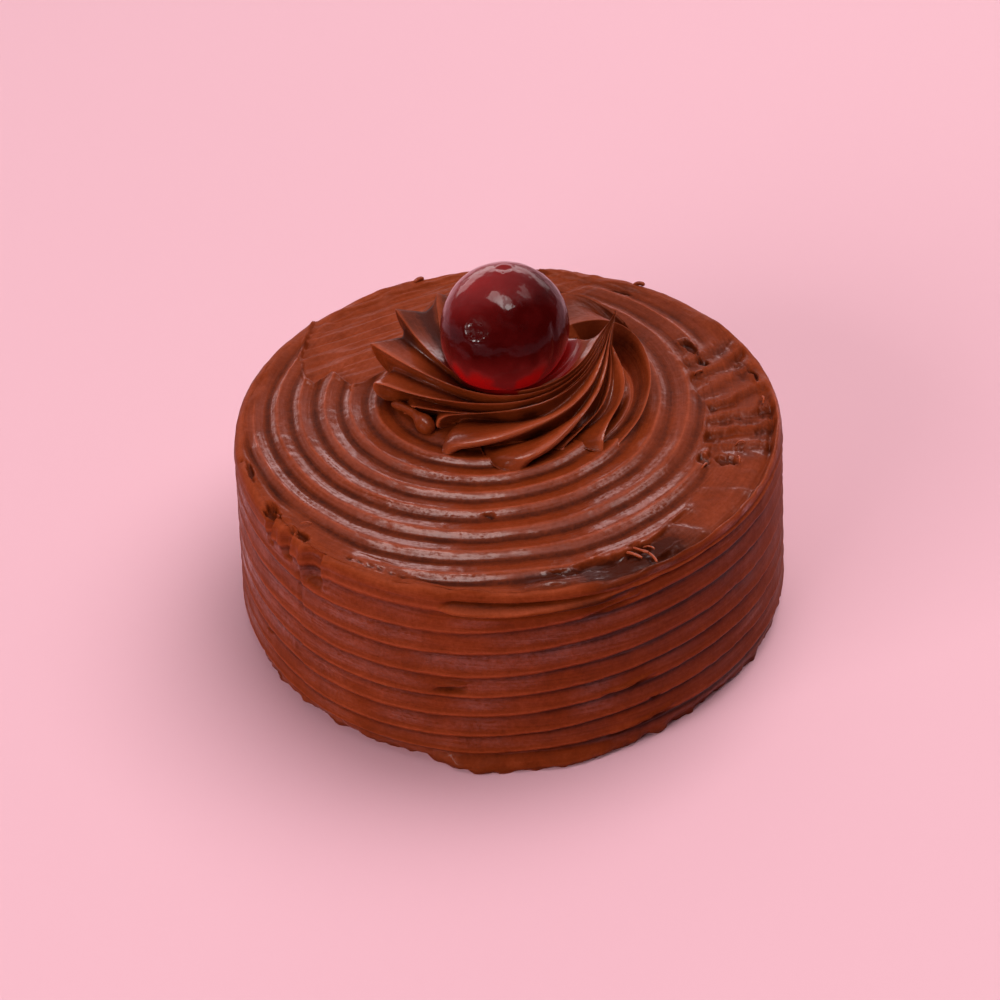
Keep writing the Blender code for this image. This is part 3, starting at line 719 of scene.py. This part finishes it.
def sideSurface(level, angle):
    # radius, height, gloss and tone of the side: taper, combed lines, foot, lip, slits and gouges;
    # the tone holds painted highlight on the crests and painted shade under them and in the foot, slot, slits
    # and gouges
    loose = between(level, 0, 7, cake["rim"] - 6, cake["rim"])
    height = level + sideWave(angle) * loose
    share = np.clip(height / cake["rim"], 0, 1)
    radius = cake["baseRadius"] + (cake["topRadius"] - cake["baseRadius"]) * share
    spot = stack3(radius * np.sin(np.radians(angle)), -radius * np.cos(np.radians(angle)), height)
    seam = 0.35 * between(angle, -49.5, -48.5, -46, -30)
    moved = level + side["wander"] * noise(spot, (9, 9, 3.5), 103) + 0.06 * noise(spot, 2.6, 105) + seam
    phase = sidePhase(moved) % 1
    depth = side["depth"] + side["extra"] * bell(turnFrom(angle, side["deepAngle"]), 0, 42)
    depth *= (1 + 0.25 * noise(spot, 8, 107))
    cut = roundedCut(phase, side["undercut"], 0.75, 0.05)
    crest = bell(np.minimum(phase, 1 - phase), 0, 0.08)
    cut += 0.35 * crest * np.clip(noise(spot, 2, 109) - 0.1, 0, 1)
    combed = smooth(38.2, 36.6, level)
    radius -= depth * (cut * combed + 0.35 * (1 - combed))
    radius += 0.09 * fractal(spot, 5, 111) + 0.03 * noise(spot, 1.2, 115)
    # dark gathers the painted shade in the recesses of the side
    dark = 0

    # foot standing out or tucked in, with a crumbly edge
    lineAngle, lineOut = np.array(footLine, float).T
    out = np.interp(turnFrom(angle, 0), lineAngle, lineOut)
    crumbly = 0.55 * noise(spot, (2.6, 2.6, 1.6), 121) + 0.35 * noise(spot, 1.2, 123)
    radius += (out + crumbly) * smooth(3.6, 0.4, height) - 0.7 * smooth(1, 0, height)
    # painted shade: darker at the foot
    dark -= 0.25 * smooth(1.6, 0.2, height)

    # the curled lip below the rim at the front, with a spooned groove in it
    curled = between(angle, *curl["reach"])
    at = curl["at"]
    radius += curled * (curl["out"] * bell(height, at, 0.55) - 0.55 * bell(height, at - 1.1, 0.5))
    slotHalf = 0.50 - 0.2 * smooth(0, 20, angle)
    spoon = between(angle, *curl["slotReach"]) * bell(height, curl["slotAt"], slotHalf)
    radius -= curl["slotDepth"] * spoon
    # painted shade in the spooned slot
    dark -= 0.35 * spoon
    thinLip = between(angle, *curl["thinReach"])
    radius += thinLip * (0.45 * bell(height, 38.3, 0.5) - 0.35 * bell(height, 37, 0.5))

    # slits with an overhanging upper edge, and upright gouges
    for first, last, at, half, slant, deep in slits:
        middle = 0.5 * (first + last)
        u = (turnFrom(angle, middle) + 0.5 * noise(spot, 2, 131)) / (0.5 * (last - first))
        v = height - at - slant * u + 0.18 * noise(spot, 1.5, 133)
        open2 = np.clip(1 - u ** 2, 0, 1)
        radius += deep * open2 * (0.45 * bell(v, 1.9 * half, 0.7 * half) - bell(v, 0, half))
        # painted shade inside each slit
        dark -= 0.35 * open2 * bell(v, 0, half)
    for at, half, low, high, deep in gouges:
        u = arcFrom(angle, at, cake["topRadius"]) + 0.35 * noise(spot, 3, 135)
        run = between(height, low - 0.6, low + 0.8, high - 0.5, high + 0.5)
        flat = np.exp(-(u / half) ** 4)
        radius += deep * run * (0.35 * bell(np.abs(u), 1.35 * half, 0.25 * half) - flat)
        # painted shade inside each gouge
        dark -= 0.15 * run * flat
    gloss = between(phase, 0.15, 0.4, 0.7, 0.95) * (0.30 + 0.4 * noise(spot, (7, 7, 4), 141))
    gloss *= (1 - 0.7 * between(angle, 5, 35, 85, 120))
    shade = 0.25 + 0.35 * between(angle, -10, 25, 60, 90)
    # painted highlight on the combed crests, painted shade under each crest
    tone = combed * (0.30 * crest - shade * bell(phase, 1 - side["undercut"], 0.14)) + dark
    tone += 0.05 * fractal(spot, 8, 143)
    return radius, height, np.clip(gloss, 0, 1), tone


def cakeSide():
    # foot disc, combed rows, a rounded shoulder to the height of the top, then a dive out of sight
    count = cake["columns"]
    angle = turnFrom(np.arange(count) * 360 / count, 0)
    direction = around(angle)
    top = cake["rim"] - side["shoulder"]
    level = np.linspace(0, top, side["rows"])[:, None] * np.ones(count)
    radius, height, gloss, tone = sideSurface(level, angle[None, :] * np.ones_like(level))
    wall = np.concatenate([radius[..., None] * direction[None], height[..., None]], axis=-1)
    wall[0, :, 2] = 0
    edge = radius[-1]
    inside = rings["rimInside"]
    turn = np.linspace(0, 0.5 * math.pi, side["shoulderRows"])[1:, None]
    crown = edge - side["shoulder"]
    flat = np.linspace(1, 0, 9)[1:, None]
    reach = np.concatenate([crown + (edge - crown) * np.cos(turn), inside + (crown - inside) * flat])
    plan = reach[..., None] * direction[None]
    rimTop, rimGloss, rimTone, _ = topSurface(plan[..., 0], plan[..., 1])
    lift = np.concatenate([np.sin(turn), np.ones_like(flat)])
    lip = 0.75 * bell(turnFrom(angle, 42), 0, 34) + 0.25 * noise(stack3(angle * 0.85, 0, 0), 4, 151)
    crest = bell(reach, crown + 0.35, 0.7)
    rise = wall[-1, :, 2] + (rimTop - wall[-1, :, 2]) * lift + lip * crest
    shoulder = np.concatenate([plan, rise[..., None]], axis=-1)
    foot = []
    for share in (0.5, 0.97):
        foot.append(np.column_stack([radius[0][:, None] * direction * share, np.zeros(count)]))
    dive = []
    for inset, drop in ((0.5, 2), (8, 4)):
        dive.append(np.column_stack([(inside - inset) * direction, shoulder[-1, :, 2] - drop]))
    grid = np.concatenate([np.stack(foot), wall, shoulder, np.stack(dive)])
    mesh = closedGrid("combedSide", grid, (0, 0, 0), (0, 0, cake["rim"] - 4), sharpRows=(2, len(grid) - 3))
    pad = lambda a, b: np.concatenate([np.repeat(a[:1], 2, axis=0), a, b, np.repeat(b[-1:], 2, axis=0)])
    # painted highlight: the crest of the rounded shoulder is lighter
    paint(mesh, gloss=pad(gloss, rimGloss), tone=pad(tone, rimTone + 0.1 * crest), lane=grid[..., 2])
    return mesh


# the piped swirl, whose centre the top follows too

swirl = dict(
    centre=(0, 8.5), level=1, gap=0.3, seatGap=0.12,
    rootAngle=86, rootSag=3.2, rootInner=16.4, rootSpan=3.3, rootHeight=10, rootBelly=0.5,
    overhang=0.62, syrup=2.4, wallRoot=(95, 13.4, 9.6), wallEnd=(17.2, 8.8, 9), tailTip=(20.7, 12.7, 13.4),
    tailShare=0.24, tailBack=(0, 1.9, -1.3), baseShares=(0.3, 0.55),
    columns=48, bladeRows=92, footRows=14, seatRows=8,
)

# blades drawn off into the tail, counted around from the rear left: angle of the tip, reach, tip height,
# waist (radius where it passes the cherry), drop (how soon it gets there), bend of the drop, height on
# the way, place across the tail, depth of the groove after it, place of its bottom, bulge of the lobe
drawnBlades = (
    (-144, 20.8, 10.6, 8.8, 0.11, 1, 6.6, -1, 3, 0.62, 0),
    (-118, 22.8, 11.6, 9.2, 0.14, 1, 6.6, 0.00, 4.2, 0.56, 0),
    (-99.5, 25.2, 8.6, 10.2, 0.15, 1, 6.4, 0.14, 4, 0.52, 0),
    (-84, 24.6, 5, 10.8, 0.20, 1.1, 5.8, 0.28, 3.8, 0.48, 0),
    (-69, 19.8, 2.4, 11.4, 0.24, 1.1, 4.6, 0.40, 3.4, 0.50, 0),
    (-45, 18, 3.6, 12.8, 0.16, 1, 5.4, 0.54, 4.8, 0.24, 3),
    (-27, 22, 1.2, 16.9, 0.35, 2, 4.8, 0.70, 5.6, 0.24, 3.4),
    (7, 24.4, 1.1, 18.9, 0.37, 2.1, 4.4, 0.86, 7.2, 0.44, 0.6),
    (27, 21.6, 0.4, 20.3, 0.30, 1.2, 3.2, 0.94, 3, 0.40, 0.4),
    (39, 27, 1.2, 24.2, 0.10, 1, 5.6, 1.00, 5.2, 0.30, 0),
)
# blades turned in towards the cherry: angle, reach, tip height, sweep, radius and height of the end,
# bend of the radius, depth of the groove after it, place of its bottom, bulge of the lobe
turnedBlades = (
    (43, 24.4, 0.6, 62, 17, 2.2, 2.6, 0.6, 0.5, 0),
    (46, 27.4, 0.5, 68, 13.4, 9.8, 3.2, 5.6, 0.74, 0),
    (68, 26.2, 0.8, 82, 13.6, 9.6, 3.4, 5.6, 0.74, 0),
    (98, 26, 0.8, 76, 13.4, 9.2, 3.2, 5.4, 0.72, 0),
    (128, 25.6, 1.2, 72, 12.8, 8.8, 3, 5, 0.68, 0),
    (158, 24.6, 3.4, 64, 12, 8.2, 2.6, 4.4, 0.60, 0),
    (188, 23.4, 7.6, 58, 11.4, 7.8, 2, 3.6, 0.56, 0),
)

# the cherry, whose seat the swirl follows; lit, veil and low are directions, lit being the way of the
# painted reflection on its top, and each wet spot has a direction, its outer and its inner reach
cherry = dict(
    centre=(0.2, 7.2, 54.3), radius=11.75, dent=0.5, low=(-0.72, -0.35, -0.60), lowSwell=0.75, lowSpread=0.62,
    lit=(-0.38, 0.28, 0.88), veil=(-0.40, 0.05, 0.92),
    wetSpots=(((0.11, -0.67, 0.73), 0.42, 0.16), ((-0.46, -0.77, 0.44), 0.26, 0.12)), columns=240, rows=150,
)


def polarPoint(angle, radius, height):
    # a point around the middle of the swirl
    plan = np.asarray(radius)[..., None] * around(angle) + np.array(swirl["centre"])
    return np.concatenate([plan, np.asarray(height)[..., None]], axis=-1)


def rootPlace(share):
    # the same as angle, radius and height, each off its straight way by the sine of the share
    sag = math.sin(math.pi * share)
    return (
        swirl["rootAngle"] - swirl["rootSag"] * sag,
        swirl["rootInner"] + swirl["rootSpan"] * share,
        swirl["rootHeight"] + swirl["rootBelly"] * sag,
    )


def tailRoot(share):
    # where a blade reaches the foot of the tail: half an ellipse from its inner to its outer edge
    return polarPoint(*rootPlace(share))


def drawnCrest(blade, t):
    # around the cherry: radius = reach + (waist - reach)(1 - exp(-(s / drop)^bend)) + (root - waist) s^3.2,
    # height likewise with s^5; then straight to the tip of the tail while the blades close up
    angle, reach, tip, waist, drop, bend, mid, share = blade[:8]
    rootAngle, rootRadius, rootHeight = swirl["wallRoot"] if share < 0 else rootPlace(share)
    part = swirl["tailShare"]
    s = np.clip(t / (1 - part), 0, 1)
    fall = 1 - np.exp(-(s / drop) ** bend)
    radius = reach + (waist - reach) * fall + (rootRadius - waist) * s ** 3.2
    height = tip + (mid - tip) * (1 - np.exp(-s / 0.25)) + (rootHeight - mid) * s ** 5
    body = polarPoint(angle + (rootAngle - angle) * s, radius, height)
    drawn = np.clip((t - 1 + part) / part, 0, 1)[:, None]
    if share < 0:
        return body + (np.array(swirl["wallEnd"]) - body[-1]) * drawn
    middle = tailRoot(0.5)
    spine = middle + (np.array(swirl["tailTip"]) - middle) * drawn
    offset = body[-1] - middle
    return np.where(drawn > 0, spine + offset * ((1 - drawn) ** 1.25 + 0.04), body)


def turnedCrest(blade, t):
    # a hooked spiral inwards: the angle follows a sine, the radius falls late, the height follows a sine
    angle, reach, tip, sweep, endRadius, endHeight, bend = blade[:7]
    turned = np.sin(0.5 * math.pi * t)
    radius = reach + (endRadius - reach) * t ** bend
    return polarPoint(angle + sweep * turned, radius, tip + (endHeight - tip) * turned ** 1.3)


def returnLine(blade, t):
    # straight down the back of the tail
    share = blade[7]
    if share < 0:
        return np.repeat(np.array([swirl["wallEnd"]]), len(t), axis=0)
    middle = tailRoot(0.5)
    offset = tailRoot(share) - middle
    back = middle + 0.8 * offset + np.array(swirl["tailBack"])
    tip = np.array(swirl["tailTip"]) + 0.04 * offset
    return tip + (back - tip) * t[:, None]


def grooveCut(u, bottom, soft=0.10):
    # from a crest quickly down to the bottom, sin(pi x / 2)^0.8, then up to the next crest as
    # (1 - w)^(2 - 2 bottom), which bulges where the bottom lies close to the first crest
    down = np.sin(0.5 * math.pi * np.clip(u / bottom, 0, 1)) ** 0.8
    up = np.clip((1 - u) / (1 - bottom), 0, 1) ** (2 - 2 * bottom)
    cut = np.minimum(down, up)
    return (np.sqrt(cut ** 2 + soft ** 2) - soft) / (math.sqrt(1 + soft ** 2) - soft)


def swirlSkin():
    # skin between neighbouring crests, lowered by the groove and swollen by the lobe
    t = np.linspace(0, 1, swirl["bladeRows"]) ** 1.25
    down = np.linspace(0, 1, 6)
    crests = [drawnCrest(blade, t) for blade in drawnBlades]
    crests += [turnedCrest(blade, t) for blade in turnedBlades]
    returns = [returnLine(blade, down) for blade in drawnBlades]
    returns += [np.repeat(crest[-1:], len(down), axis=0) for crest in crests[len(drawnBlades):]]
    grooves = [blade[-3:] for blade in drawnBlades + turnedBlades]
    u = (np.arange(swirl["columns"]) / swirl["columns"])[None, :]
    fade = (1 - 0.84 * smooth(0.15, 0.85, t))[:, None]
    rise = smooth(-0.1, 0.45, t)[:, None]
    early = smooth(0.45, 0, t)[:, None]
    nose = np.sqrt(1 - np.clip(1 - t / 0.04, 0, 1) ** 2)[:, None]
    strips, depths = [], []
    for index, (groove, bottom, bulge) in enumerate(grooves):
        following = (index + 1) % len(grooves)
        skin = crests[index][:, None] * (1 - u[..., None]) + crests[following][:, None] * u[..., None]
        cut = grooveCut(u, bottom)
        swell = bulge * np.sin(math.pi * np.clip((u - bottom) / (1 - bottom), 0, 1)) ** 0.7 * early
        depth = groove * cut * fade - swell
        outward = unit(skin[..., :2] - np.array(swirl["centre"]))
        skin[..., :2] -= outward * (depth * (1 - 0.75 * rise))[..., None]
        skin[..., 2] -= depth * (0.30 + 0.6 * rise)
        tips = crests[index][0, 2] * (1 - u) + crests[following][0, 2] * u
        blunt = np.clip(2.5 - 0.26 * tips, 0.25, 2.2)
        skin[..., 2] -= (1 - nose) * np.minimum(np.clip(skin[..., 2], 0, 2.4), blunt)
        skin[..., 2] = np.maximum(skin[..., 2], -0.4)
        back = returns[index][:, None] * (1 - u[..., None]) + returns[following][:, None] * u[..., None]
        strips.append(np.concatenate([skin, back[1:]]))
        depths.append(np.concatenate([cut * fade, np.zeros((len(down) - 1, u.shape[1]))]))
    return np.concatenate(strips, axis=1), np.concatenate(depths, axis=1)


def cherryReach(away):
    # radius of the cherry along a unit direction: a ball, swollen low down at the left
    gap = sizeOf(away - unit(np.array(cherry["low"])))
    return cherry["radius"] + cherry["lowSwell"] * bell(gap, 0, cherry["lowSpread"])


def pipedSwirl():
    # flat base, rounded foot, the skin of blades, then a bowl under the cherry
    skin, hollow = swirlSkin()
    skin[..., 2] += cake["rim"] + swirl["level"]
    centre = np.array(swirl["centre"])
    tips = skin[0]
    outward = tips[:, :2] - centre
    rows = []
    for share in swirl["baseShares"]:
        plan = centre + outward * share
        rows.append(np.column_stack([plan, domeHeight(np.hypot(*plan.T)) + swirl["gap"]]))
    reach = sizeOf(outward)
    rise = np.clip(tips[:, 2] - cake["rim"] - 2, 0, 10)
    for step in range(swirl["footRows"]):
        share = step / swirl["footRows"]
        tuck = (0.4 + swirl["overhang"] * rise) * (1 - share) ** 1.3 - 0.5 * math.sin(math.pi * share)
        plan = centre + outward * (1 - tuck / reach)[:, None]
        low = domeHeight(np.hypot(*plan.T)) - 0.75
        high = np.maximum(tips[:, 2], low + 0.5)
        rows.append(np.column_stack([plan, low + (high - low) * share]))
    foot = len(rows)
    ball = np.array(cherry["centre"])
    seat = ball - np.array([0, 0, cherry["radius"] + swirl["seatGap"]])
    inner = skin[-1]
    count = swirl["seatRows"]
    bowl = [inner * (1 - k / count) + seat * k / count for k in range(1, count)]
    grid = np.concatenate([np.stack(rows), skin, np.stack(bowl)])
    dug = [np.repeat(hollow[:1], foot, axis=0), hollow, np.zeros((len(bowl), hollow.shape[1]))]
    dug = np.concatenate(dug)
    lane = np.arange(grid.shape[1])[None, :] * 0.12 * np.ones((len(grid), 1))

    # fine lines left by the nozzle, and a gentle unevenness
    streak = noise(stack3(lane, grid[..., 2] * 0.03, 0), (0.32, 1, 1), 201) * 0.06
    push = streak + 0.10 * fractal(grid, 4, 203)
    flow = unit(grid - np.array([centre[0], centre[1], cake["rim"] + 2]))
    part = np.arange(len(grid))[:, None]
    strength = smooth(1, 4, part) * smooth(len(grid) - 8, len(grid) - 14, part)
    grid += flow * (push * strength)[..., None]
    away = grid - ball
    length = sizeOf(away)
    clear = cherryReach(away / length[..., None]) + swirl["seatGap"]
    near = length < clear
    grid[near] = ball + away[near] * (clear[near] / length[near])[:, None]
    middle = (centre[0], centre[1], domeHeight(np.hypot(*centre)) + swirl["gap"])
    mesh = closedGrid("pipedSwirl", grid, middle, tuple(seat))
    crest = 1 - smooth(0, 0.22, dug)
    behind = smooth(8, 15, grid[..., 1])
    gloss = (0.75 + 0.35 * noise(grid, 6, 211) + 0.3 * smooth(0.3, 0.8, dug)) * (1 - 0.9 * behind)
    aroundSwirl = np.degrees(np.arctan2(grid[..., 0] - centre[0], centre[1] - grid[..., 1]))
    low = smooth(5.5, 3.5, grid[..., 2] - cake["rim"])
    # painted highlight on the crests; painted shade deep in the grooves, at the rear, low on the front lobe
    # and in the hollows at the front right and the right; the left petals are painted lighter, as if lit from
    # the left
    tone = 0.06 + 0.42 * crest - 0.34 * smooth(0.55, 1, dug) - 0.30 * behind + 0.05 * fractal(grid, 6, 213)
    tone += 0.14 * smooth(-70, -95, aroundSwirl) * (1 - behind) - 0.26 * low * bell(aroundSwirl, -12, 13)
    tone = tone - 0.50 * bell(aroundSwirl, 18, 9) * smooth(0.15, 0.5, dug) - 0.15 * bell(aroundSwirl, 45, 20)
    away = grid - ball
    length = sizeOf(away)
    bearing = np.degrees(np.arctan2(away[..., 0], -away[..., 1]))
    gap = length - cherryReach(away / length[..., None]) + 0.5 * noise(grid, 1.8, 215)
    wide = swirl["syrup"] * (0.4 + between(bearing, 40, 75, 110, 135))
    syrup = smooth(1, 0.7, gap / wide) * between(bearing, -75, -55, 120, 150)
    paint(mesh, gloss=np.clip(gloss, 0, 1), tone=tone, lane=lane * 6, syrup=syrup)
    return mesh


coatMaterial = frostingMaterial("combedFrosting", streak=0.75)
swirlMaterial = frostingMaterial("pipedFrosting", streak=0.45, toneShift=-0.03, syrupy=True)
place("combedTop", cakeTop(), coatMaterial, "frosting", "frosted_cake")
print("the combed top is in place")
place("combedSide", cakeSide(), coatMaterial, "frosting", "frosted_cake")
print("the combed side is in place")
place("pipedSwirl", pipedSwirl(), swirlMaterial, "frosting", "rosette")
print("the piped swirl is in place")


# the candied cherry

# dents in the cherry: direction from its middle, radius of the dent, depth
cherryDents = (
    ((-0.44, -0.74, 0.50), 0.15, 0.22),
    ((0.02, 0.12, 1), 0.09, 0.30),
    ((-0.05, -0.93, 0.05), 0.14, 0.12),
    ((-0.62, -0.76, 0.12), 0.12, 0.14),
)

# ripples of its skin: height as a share of the radius, width, seed
cherryRipples = ((0.010, 0.9, 301), (0.0045, 0.33, 303), (0.0036, 0.12, 305), (0.0018, 0.06, 307))


def candiedCherry():
    # a ball whose radius is lowered by dents exp(-(distance / size)^2), a crease and soft ripples
    count, rows = cherry["columns"], cherry["rows"]
    polar = (math.pi * np.arange(1, rows) / rows)[:, None]
    turn = (2 * math.pi * np.arange(count) / count)[None, :]
    away = stack3(np.sin(polar) * np.sin(turn), -np.sin(polar) * np.cos(turn), -np.cos(polar))
    ripples = sum(high * noise(away, wide, seed) for high, wide, seed in cherryRipples)
    radius = cherryReach(away) * (1 + ripples)
    for spot, size, depth in cherryDents:
        gap = sizeOf(away - unit(np.array(spot)))
        radius += depth * (0.4 * bell(gap, 1.5 * size, 0.4 * size) - bell(gap, 0, size))
    crease = np.degrees(turn) - 48 + 8 * np.cos(polar)
    radius -= 0.28 * bell(crease, 0, 3) * between(polar, 1, 1.4, 1.8, 2.2)
    x, y, z = cherry["centre"]
    skin = away * radius[..., None] + np.array(cherry["centre"])
    bottom, top = z - cherry["radius"], z + cherry["radius"] - cherry["dent"]
    mesh = closedGrid("candiedCherry", skin, (x, y, bottom), (x, y, top))
    # painted reflection: the top towards lit is lighter; painted glow: low down it is a brighter red, broken
    # by darker veins
    above = smooth(0.30, 1.05, away @ np.array(cherry["lit"]))
    veined = np.clip(0.85 + 1.3 * fractal(away * np.array([1, 1, 0.6]), 0.30, 315), 0.55, 1.15)
    below = smooth(0.28, -0.55, away[..., 2]) * veined
    wetSpots = [smooth(far, near, sizeOf(away - np.array(spot))) for spot, far, near in cherry["wetSpots"]]
    broken = smooth(-0.02, 0.10, fractal(away, 0.075, 313)) * np.maximum(*wetSpots)
    veil = smooth(0.45, 1, away @ np.array(cherry["veil"]))
    tone = 0.62 * above + 0.95 * below + 0.05 * fractal(away, 0.4, 311)
    paint(mesh, tone=tone, wet=np.clip(0.45 * veil + 0.9 * broken, 0, 1))
    return mesh


# glow is the strength of a painted glow: the skin colour given out as emission
cherryLook = dict(
    deep=(0.024, 0.0004, 0.0004, 1), plain=(0.100, 0.0050, 0.0050, 1), light=(0.200, 0.0020, 0.0020, 1),
    glow=0.62, specular=0.10, coatRoughness=0.03, bump=0.5, bumpDepth=0.00006,
)


def cherryMaterial():
    # dark red candied skin: a painted dusky reflection above, a painted red glow below, nearly black between,
    # all clear and wet, and the whole colour given out again as emission, a painted glow
    look = cherryLook
    material, shader, nodes = newMaterial("candiedSkin")
    maths = nodes.maths
    tone, wet = nodes.attribute("tone"), nodes.attribute("wet")
    veins = nodes.cloud(260, 4)
    beads = nodes.cloud(1400)
    colour = toned(nodes, look, maths("ADD", tone, nodes.vary(veins, 0.30), clamp=True))
    nodes.fill(shader, {
        "Base Color": colour,
        # painted glow: the skin colour is given out as emission
        "Emission Color": colour,
        "Emission Strength": look["glow"],
        "Roughness": maths("MULTIPLY_ADD", veins, 0.20, 0.05),
        "Coat Weight": maths("MULTIPLY_ADD", wet, 0.95, 0.03),
        "Coat Roughness": look["coatRoughness"],
        "Specular IOR Level": look["specular"],
        "Normal": bumped(nodes, look, maths("ADD", maths("MULTIPLY", veins, 2), beads)),
    })
    return material


place("candiedCherry", candiedCherry(), cherryMaterial(), "candied_cherry", "cherry")
print("the cherry is in place")

# bits dragged out of the frosting: start, middle and end of the way, each as radius, angle and height
# over the rim, then thickness, how much thicker the end is, and tone
draggedBits = (
    ((21.6, -101, 1.5), (17, -90, 3.9), (14.8, -70, 1.3), 0.85, 1.1, 0),
    ((43.6, 26.6, -0.1), (44.6, 27.2, 0.5), (46.4, 28.6, 0), 0.24, 0.2, 0.80),
    ((43, 28.8, -0.1), (44.9, 28.8, 0.8), (46.2, 30.4, 0.4), 0.20, 0.5, 0.75),
    ((45.4, 30.4, 0), (47, 30.8, 0.4), (48.9, 30.2, 0.2), 0.22, 0, 0.85),
    ((44, 30.6, -0.1), (44.6, 31.8, 0.7), (45.9, 32.2, 0.3), 0.15, 0.2, 0.65),
    ((46.5, -53.1, 0.2), (45.7, -52.2, 1), (44.9, -51.4, 0.2), 0.12, 0, 1.00),
    ((49.4, -162, -0.3), (49.2, -160.8, 0.5), (48.8, -159.4, -0.3), 0.42, 0, 0.30),
    ((48.8, 148.4, -0.3), (49.8, 147.2, 0.8), (49.6, 145.8, 0.1), 0.42, 0.1, 0.40),
    ((38.2, 63.6, 0), (38.8, 64.4, 1.5), (38.7, 66, 0.2), 0.20, 0.3, 0.70),
    ((43.2, 71, 0), (43.8, 70.5, 1.7), (44.2, 69.2, 0.1), 0.17, 0.3, 0.75),
    ((42.2, 76.2, -0.2), (43, 77, 1.2), (44, 77, 0.1), 0.15, 0.2, 0.60),
    ((47.2, 92.2, -0.2), (47.6, 93.2, 1.4), (47.2, 94.4, 0), 0.20, 0.2, 0.50),
    ((36.9, 107.6, 0.2), (37.9, 107.4, 1.6), (38.8, 108, 0.2), 0.18, 0.2, 0.45),
)


def draggedFrosting():
    # each bit is a round thread along (1 - s)^2 a + 2 s (1 - s) b + s^2 c, rounded at both ends
    s = np.linspace(0, 1, 40)[1:-1, None]
    turn = (2 * math.pi * np.arange(14) / 14)[None, :, None]
    grids, tones = [], []
    for first, second, third, thickness, knob, tone in draggedBits:
        places = (first, second, third)
        a, b, c = [np.append(r * around(angle), cake["rim"] + high) for r, angle, high in places]
        line = (1 - s) ** 2 * a + 2 * s * (1 - s) * b + s ** 2 * c
        way = unit((1 - s) * (b - a) + s * (c - b))
        across = unit(np.cross(way, np.cross(c - a, (0, 0, 1))))
        beside = np.cross(way, across)
        swell = thickness * (1 + knob * smooth(0.55, 0.85, s)) * (1 + 0.14 * noise(line, 2, 401)[:, None])
        girth = swell * np.minimum(1, np.sqrt(1 - (2 * s - 1) ** 6) + 0.02)
        circle = np.cos(turn) * across[:, None] + np.sin(turn) * beside[:, None]
        grid = line[:, None] + girth[:, None] * circle
        grids.append((a, grid, c))
        tones.append(tone)
    return grids, tones


draggedMaterial = frostingMaterial("draggedFrosting", streak=0.2)
for number, ((start, grid, end), tone) in enumerate(zip(*draggedFrosting())):
    bit = closedGrid("draggedBit%d" % number, grid, tuple(start), tuple(end))
    level = np.ones(grid.shape[:2])
    paint(bit, gloss=0.7 * level, tone=tone * level, lane=0 * level)
    place("draggedBit%d" % number, bit, draggedMaterial, "frosting")
print("the dragged bits are in place")
